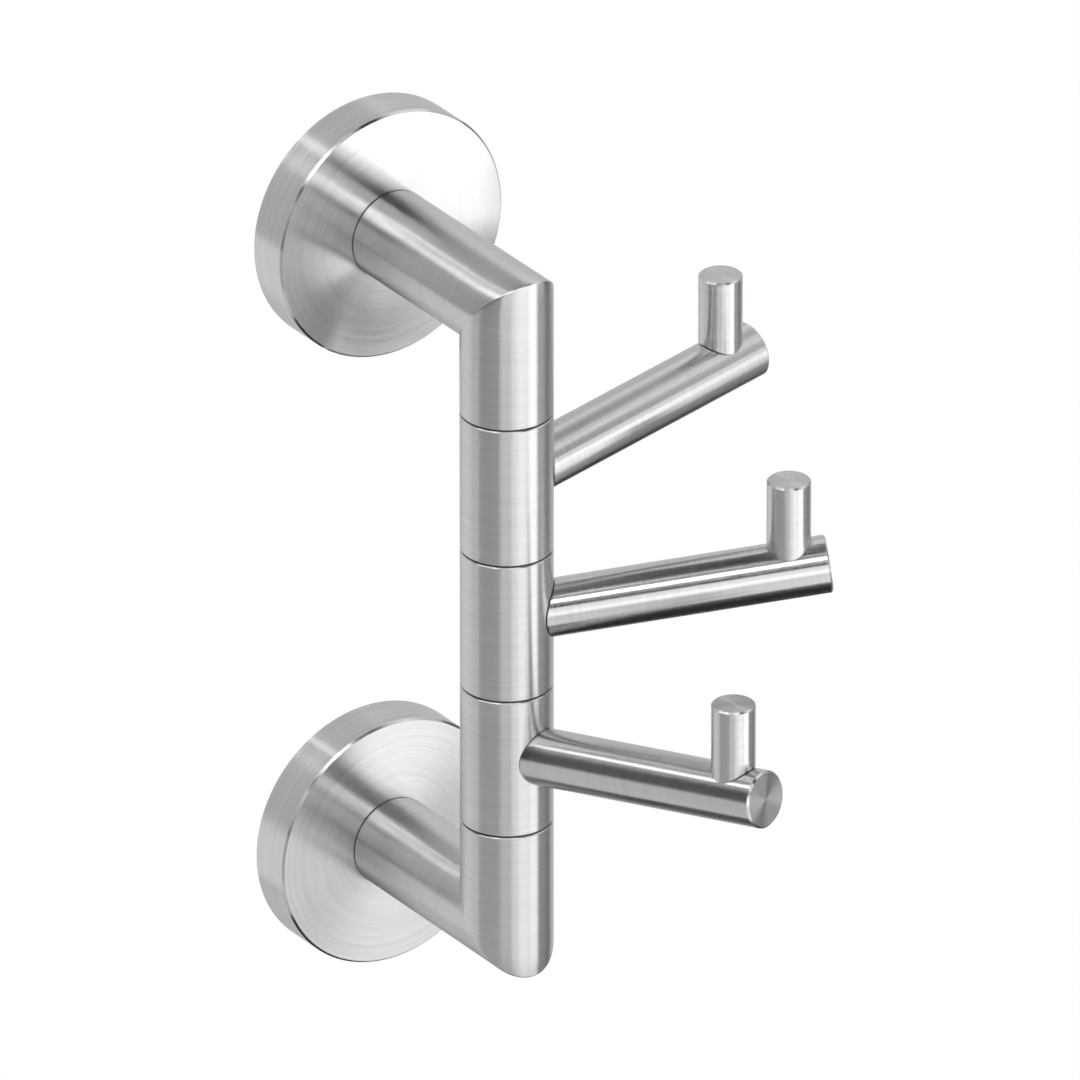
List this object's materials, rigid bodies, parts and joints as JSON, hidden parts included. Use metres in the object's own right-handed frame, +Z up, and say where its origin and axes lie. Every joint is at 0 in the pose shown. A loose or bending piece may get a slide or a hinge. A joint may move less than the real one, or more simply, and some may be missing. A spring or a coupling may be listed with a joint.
{
  "type": "swivel hook",
  "caption": "Wall-mounted swivel hook: round rosettes and mitred tube brackets hold a column of sleeves that swing sideways, each with an arm and an upright pin.",
  "frame": {"origin": "on the wall, midway between the two rosettes, at the centre of the wall screws' pattern", "axes": "+Z up along the column, +X to the right as one faces the wall, -Y out from the wall"},
  "size_m": [0.0976, 0.1211, 0.2012],
  "materials": {
    "brushed_tube": "brushed round the tube",
    "brushed_sleeve": "brushed round the sleeve",
    "brushed_bar": "brushed round the bar, turned end",
    "brushed_pin": "brushed round the pin, turned top",
    "turned_rosette": "face turned in fine rings",
    "plated_steel": "plated, dull",
    "screw_steel": "plated, dull",
    "nylon": "moulded, plain"
  },
  "bodies": {
    "frame": {"upper_wall_plate": "plated_steel", "upper_rosette": "turned_rosette", "upper_grub_screw": "screw_steel", "upper_bracket": "brushed_tube", "upper_post_plug": "plated_steel", "upper_rosette_washer": "screw_steel", "upper_rosette_screw": "screw_steel", "upper_column_plug": "plated_steel", "lower_wall_plate": "plated_steel", "lower_rosette": "turned_rosette", "lower_grub_screw": "screw_steel", "lower_bracket": "brushed_tube", "lower_post_plug": "plated_steel", "lower_rosette_washer": "screw_steel", "lower_rosette_screw": "screw_steel", "lower_column_plug": "plated_steel", "swivel_axle": "plated_steel", "friction_washer_1": "nylon", "friction_washer_2": "nylon", "friction_washer_3": "nylon", "friction_washer_4": "nylon"},
    "top_hook": {"top_sleeve": "brushed_sleeve", "top_upper_bush": "nylon", "top_lower_bush": "nylon", "top_arm": "brushed_bar", "top_arm_stud": "plated_steel", "top_pin": "brushed_pin", "top_pin_stud": "plated_steel"},
    "middle_hook": {"middle_sleeve": "brushed_sleeve", "middle_upper_bush": "nylon", "middle_lower_bush": "nylon", "middle_arm": "brushed_bar", "middle_arm_stud": "plated_steel", "middle_pin": "brushed_pin", "middle_pin_stud": "plated_steel"},
    "bottom_hook": {"bottom_sleeve": "brushed_sleeve", "bottom_upper_bush": "nylon", "bottom_lower_bush": "nylon", "bottom_arm": "brushed_bar", "bottom_arm_stud": "plated_steel", "bottom_pin": "brushed_pin", "bottom_pin_stud": "plated_steel"}
  },
  "joints": [
    {"name": "top_swivel", "type": "hinge", "parent": "frame", "child": "top_hook", "pos_m": [0, -0.054, 0.0321], "axis": [0, 0, -1], "range_deg": [-35, 229]},
    {"name": "middle_swivel", "type": "hinge", "parent": "frame", "child": "middle_hook", "pos_m": [0, -0.054, 0], "axis": [0, 0, -1], "range_deg": [-70.5, 193.5]},
    {"name": "bottom_swivel", "type": "hinge", "parent": "frame", "child": "bottom_hook", "pos_m": [0, -0.054, -0.0321], "axis": [0, 0, -1], "range_deg": [-113, 151]}
  ]
}
